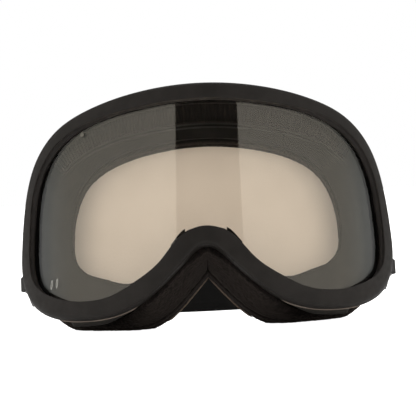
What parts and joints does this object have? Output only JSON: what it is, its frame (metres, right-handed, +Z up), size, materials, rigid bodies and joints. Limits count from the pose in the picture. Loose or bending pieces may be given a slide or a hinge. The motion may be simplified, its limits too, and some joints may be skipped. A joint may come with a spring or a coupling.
{
  "type": "ski goggles",
  "caption": "Ski goggles with a double cylindrical lens in a rim, a vented frame with face foam, hinged outriggers and an adjustable elastic strap.",
  "frame": {"origin": "centre of the goggles' footprint on the table, on the table top", "axes": "+Z up, +X to the viewer's right as the lens is seen, -Y the way the lens faces"},
  "size_m": [0.1848, 0.1742, 0.116],
  "materials": {
    "rim_plastic": "fine matt texture",
    "clear_lens": "clear with a faint warm tint",
    "spacer_foam": "closed cell foam",
    "valve_plastic": "satin",
    "frame_rubber": "soft matt",
    "vent_mesh": "ribbed open foam",
    "foam": "brushed foam",
    "fleece": "short pile fleece",
    "hardware_plastic": "satin",
    "webbing": "woven elastic",
    "pin_steel": "brushed"
  },
  "bodies": {
    "goggles": {"rim": "rim_plastic", "outer_lens": "clear_lens", "lens_spacer": "spacer_foam", "inner_lens": "clear_lens", "lens_valve": "valve_plastic", "face_frame": "frame_rubber", "brow_vent_mesh": "vent_mesh", "cheek_vent_mesh_right": "vent_mesh", "cheek_vent_mesh_left": "vent_mesh", "foam_base": "foam", "foam_middle": "foam", "face_fleece": "fleece", "nose_flap_right": "foam", "nose_flap_left": "foam", "strap_loop_right": "webbing", "strap_loop_left": "webbing", "strap_band": "webbing", "hinge_pin_right": "pin_steel", "hinge_pin_left": "pin_steel"},
    "outrigger_right": {"outrigger_right": "hardware_plastic"},
    "outrigger_left": {"outrigger_left": "hardware_plastic"},
    "slider_right": {"slider_right": "hardware_plastic"},
    "slider_left": {"slider_left": "hardware_plastic"}
  },
  "joints": [
    {"name": "outrigger_right_hinge", "type": "hinge", "parent": "goggles", "child": "outrigger_right", "pos_m": [0.0884, -0.01079, 0.03378], "axis": [0, 0.2334, 0.9724], "range_deg": [-20, 8], "deforming": ["strap_loop_right"]},
    {"name": "outrigger_left_hinge", "type": "hinge", "parent": "goggles", "child": "outrigger_left", "pos_m": [-0.0884, -0.01079, 0.03378], "axis": [0, 0.2334, 0.9724], "range_deg": [-8, 20], "deforming": ["strap_loop_left"]},
    {"name": "slider_right_slide", "type": "slide", "parent": "goggles", "child": "slider_right", "axis": [0, 0.9724, -0.2334], "range_m": [-0.006, 0.009]},
    {"name": "slider_left_slide", "type": "slide", "parent": "goggles", "child": "slider_left", "axis": [0, 0.9724, -0.2334], "range_m": [-0.006, 0.009]}
  ]
}
